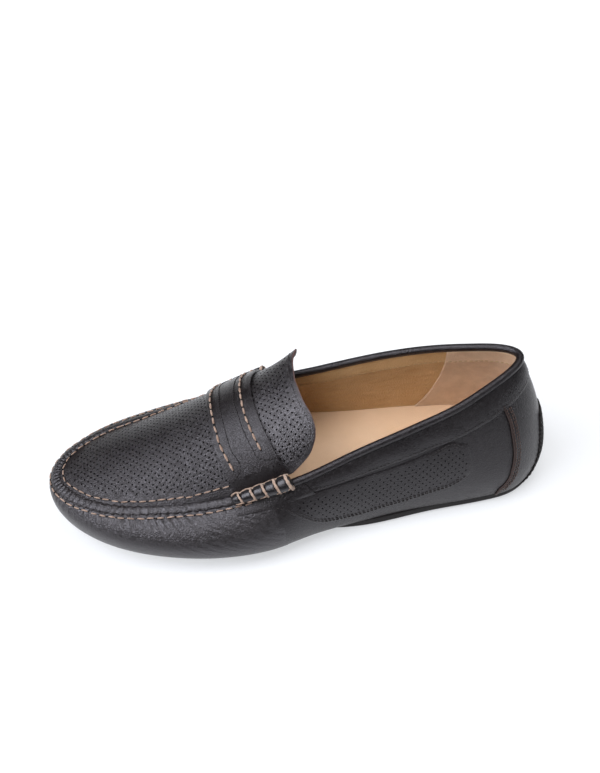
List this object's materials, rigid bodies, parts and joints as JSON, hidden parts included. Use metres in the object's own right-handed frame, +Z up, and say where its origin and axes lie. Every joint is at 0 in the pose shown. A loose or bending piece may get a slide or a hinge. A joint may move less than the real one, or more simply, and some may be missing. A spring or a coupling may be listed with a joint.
{
  "type": "moccasin",
  "caption": "Left driving moccasin with perforated apron and tongue, hand-sewn moc seam, saddle strap with beefrolls, padded collar and podded rubber sole.",
  "frame": {"origin": "centre of the shoe's bounding box, on the ground", "axes": "+Z up, the toe points to -X, the outer (lateral) side is -Y"},
  "size_m": [0.2918, 0.114, 0.084],
  "materials": {
    "upper_leather": "smooth semi-gloss near-black",
    "perforated_leather": "smooth near-black, punched with small round holes",
    "edge_leather": "dark brown-black rolled edge",
    "thread": "waxed tan thread",
    "lining_leather": "natural tan, grained",
    "suede": "napped tan",
    "sock_leather": "light tan, fine grain",
    "board": "pressed fibre board",
    "foam": "soft open foam",
    "rubber": "matte dark rubber"
  },
  "bodies": {
    "shoe": {"outsole": "rubber", "tread_pods": "rubber", "heel_tab": "rubber", "leather_base": "upper_leather", "insole_board": "board", "footbed_foam": "foam", "heel_pad": "foam", "sock_lining": "sock_leather", "vamp": "upper_leather", "vamp_lining": "lining_leather", "quarter_lateral": "upper_leather", "perforated_panel": "perforated_leather", "quarter_lining_lateral": "lining_leather", "quarter_medial": "upper_leather", "quarter_lining_medial": "lining_leather", "counter": "upper_leather", "heel_stiffener": "board", "heel_lining": "suede", "collar_band": "upper_leather", "collar_foam": "foam", "collar_bead": "upper_leather", "counter_piping_lateral": "edge_leather", "counter_piping_medial": "edge_leather", "apron": "perforated_leather", "apron_lining": "lining_leather", "moc_seam": "edge_leather", "apron_stitches": "thread", "vamp_stitches": "thread", "strap": "upper_leather", "strap_stitches_front": "thread", "strap_stitches_rear": "thread", "beefroll_lateral": "edge_leather", "beefroll_wraps_lateral": "thread", "beefroll_medial": "edge_leather", "beefroll_wraps_medial": "thread"},
    "tongue": {"tongue": "perforated_leather"}
  },
  "joints": [
    {"name": "tongue_lift", "type": "hinge", "parent": "shoe", "child": "tongue", "pos_m": [-0.0265, 0, 0.0715], "axis": [0, -1, 0], "range_deg": [0, 25], "stiffness_Nm_per_rad": 0.02}
  ]
}
